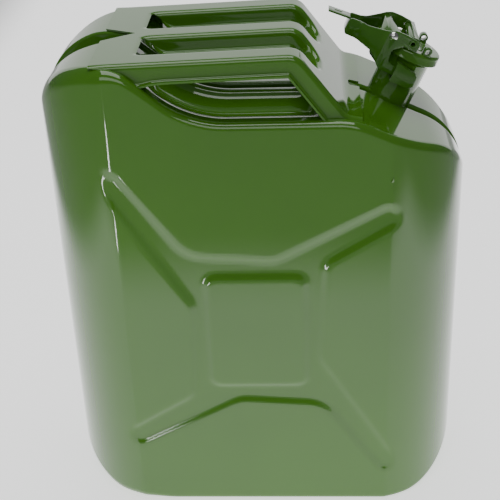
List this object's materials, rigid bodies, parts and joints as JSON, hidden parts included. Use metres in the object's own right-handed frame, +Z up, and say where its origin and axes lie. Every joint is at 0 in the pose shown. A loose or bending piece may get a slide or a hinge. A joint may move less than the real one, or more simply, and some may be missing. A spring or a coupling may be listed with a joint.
{
  "type": "fuel can",
  "caption": "Pressed-steel liquid fuel can with a three-bar carrying handle, a tilted filler neck and a cam-lever lid that swings open.",
  "frame": {"origin": "centre of the base, on the plane the can stands on", "axes": "+Z up; +X from the air chamber towards the filler neck; +Y from the front shell to the rear shell"},
  "size_m": [0.3437, 0.165, 0.428],
  "materials": {
    "enamel": "high gloss",
    "gasket_rubber": "satin",
    "zinc_rivet": "bright"
  },
  "bodies": {
    "can": {"shell_front": "enamel", "shell_rear": "enamel", "seam_weld": "enamel", "handle_bar_front": "enamel", "handle_bar_middle": "enamel", "handle_bar_rear": "enamel", "handle_yoke_left": "enamel", "handle_yoke_right": "enamel", "neck_tube": "enamel", "neck_collar": "enamel", "mouth_ring": "enamel", "catch_front": "enamel", "catch_rear": "enamel", "hinge_bracket": "enamel", "hinge_pin": "enamel"},
    "lid": {"lid_disc": "enamel", "lid_gasket": "gasket_rubber", "lid_saddle": "enamel", "lid_strap": "enamel", "lid_ear_front": "enamel", "lid_ear_rear": "enamel", "lever_pivot_pin": "enamel"},
    "lever": {"lever": "enamel", "latch_plate": "enamel", "latch_rivet": "zinc_rivet"}
  },
  "joints": [
    {"name": "lid_swing", "type": "hinge", "parent": "can", "child": "lid", "pos_m": [0.09914, 0.0125, 0.39511], "axis": [0, -1, 0], "range_deg": [0, 75]},
    {"name": "lever_turn", "type": "hinge", "parent": "lid", "child": "lever", "pos_m": [0.12713, 0.0125, 0.40445], "axis": [0, 1, 0], "range_deg": [0, 150]}
  ],
  "couplings": [
    {"joint": "lever_turn", "follows": "lid_swing", "ratio": 2}
  ]
}
